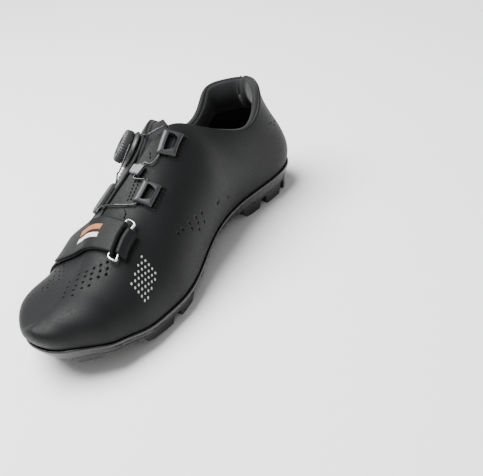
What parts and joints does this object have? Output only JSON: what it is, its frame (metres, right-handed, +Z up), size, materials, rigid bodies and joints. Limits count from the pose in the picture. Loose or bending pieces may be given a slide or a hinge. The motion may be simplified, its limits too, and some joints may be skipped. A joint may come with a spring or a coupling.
{
  "type": "cycling shoe",
  "caption": "Low off-road cycling shoe with a moulded cleated sole, a toe strap through a ring and a dial lace closure, for the right foot.",
  "frame": {"origin": "middle of the bounding box in plan, on the floor under the treads", "axes": "+Y along the foot toward the toe, +X toward the outer side of the right foot, +Z up"},
  "size_m": [0.1032, 0.2892, 0.1072],
  "materials": {
    "microfibre": "matt black coated microfibre",
    "nylon": "satin black glass-filled nylon",
    "tread": "satin black rubber",
    "brass": "turned brass",
    "steel": "bright steel",
    "insole": "black fabric over foam",
    "mesh": "charcoal knitted lining over foam",
    "moulded": "dark moulded plastic, fine grain",
    "pale": "grey moulded plastic",
    "lace": "black coated cord"
  },
  "bodies": {
    "root": {"upper": "microfibre", "outsole": "nylon", "tread_fore_inner": "tread", "tread_fore_outer": "tread", "tread_heel_inner": "tread", "tread_heel_outer": "tread", "toe_stud_inner_boss": "tread", "toe_stud_outer_boss": "tread", "toe_stud_inner_insert": "brass", "toe_stud_outer_insert": "brass", "cleat_plate": "nylon", "cleat_nut_inner_rear": "steel", "cleat_nut_inner_front": "steel", "cleat_nut_outer_rear": "steel", "cleat_nut_outer_front": "steel", "insole": "insole", "tongue": "mesh", "collar_pad": "mesh", "forefoot_strap": "microfibre", "ring_tab": "microfibre", "strap_ring": "steel", "guide_inner_upper": "moulded", "guide_inner_lower": "moulded", "guide_outer_lower": "moulded", "lace_hook": "pale", "dial_base": "moulded", "dial_knob": "moulded", "lace": "lace"}
  },
  "joints": []
}
